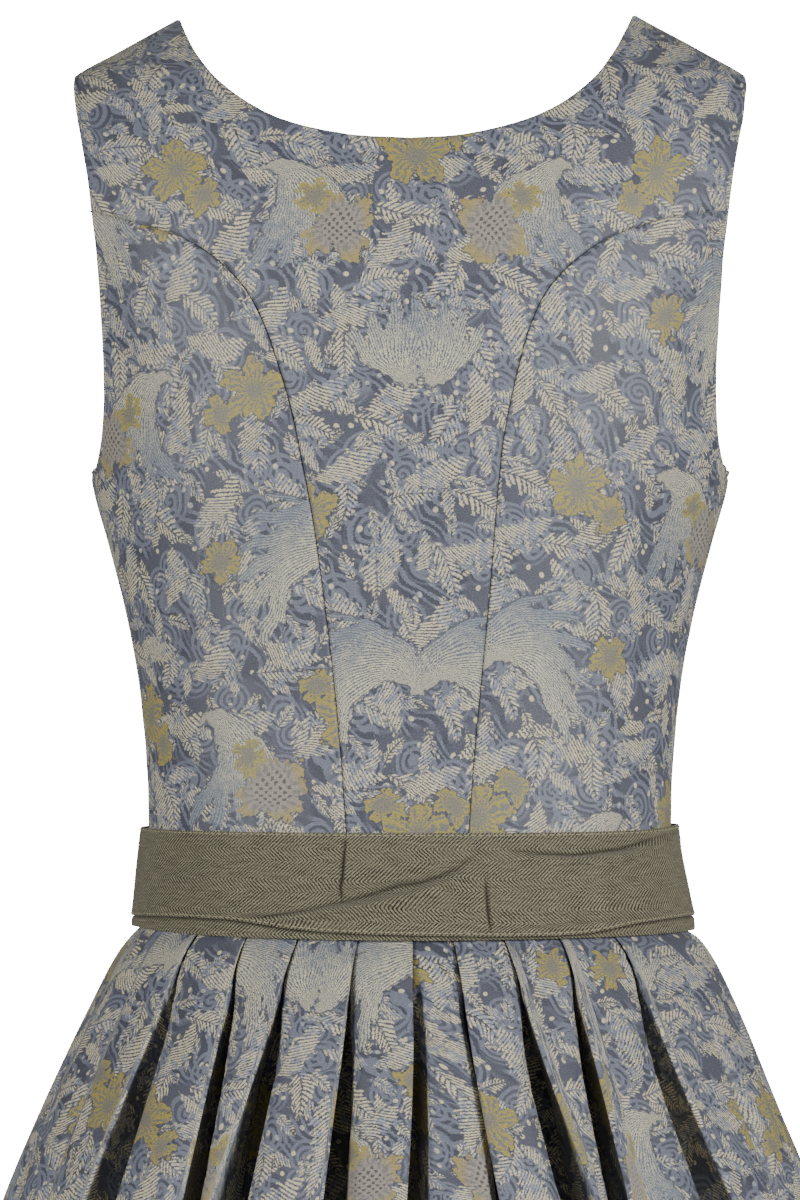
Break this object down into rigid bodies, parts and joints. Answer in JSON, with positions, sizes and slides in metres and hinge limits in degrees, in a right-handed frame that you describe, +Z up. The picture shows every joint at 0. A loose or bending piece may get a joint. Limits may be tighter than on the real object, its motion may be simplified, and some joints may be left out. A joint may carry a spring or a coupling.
{
  "type": "sleeveless dirndl dress with its waist sash",
  "caption": "Sleeveless folk dress of floral brocade, filled out as worn: fitted panelled bodice, wrapped twill sash, knife-pleated knee-length skirt; one rigid hollow body.",
  "frame": {"origin": "midway between the tops of the two shoulder straps, where the wearer's shoulders hold the dress up", "axes": "+Z up, the front faces -Y, +X is the wearer's left; the picture's camera looks along -Y at the back"},
  "size_m": [0.6879, 0.6442, 1.0579],
  "materials": {
    "brocade": "slate-blue floral brocade with cream, grey-blue and mustard wefts, slight satin sheen",
    "sash_twill": "olive-grey herringbone twill, matt",
    "button_horn": "plain dark horn-like button, soft gloss"
  },
  "bodies": {
    "root": {"back_centre_panel": "brocade", "back_side_panel_left": "brocade", "back_side_panel_right": "brocade", "front_centre_panel_left": "brocade", "front_centre_panel_right": "brocade", "front_side_panel_left": "brocade", "front_side_panel_right": "brocade", "sash_under_layer": "sash_twill", "sash_over_layer": "sash_twill", "skirt_front_width": "brocade", "skirt_back_width": "brocade", "front_button_1": "button_horn", "front_button_2": "button_horn", "front_button_3": "button_horn", "front_button_4": "button_horn", "front_button_5": "button_horn", "front_button_6": "button_horn", "front_button_7": "button_horn"}
  },
  "joints": []
}
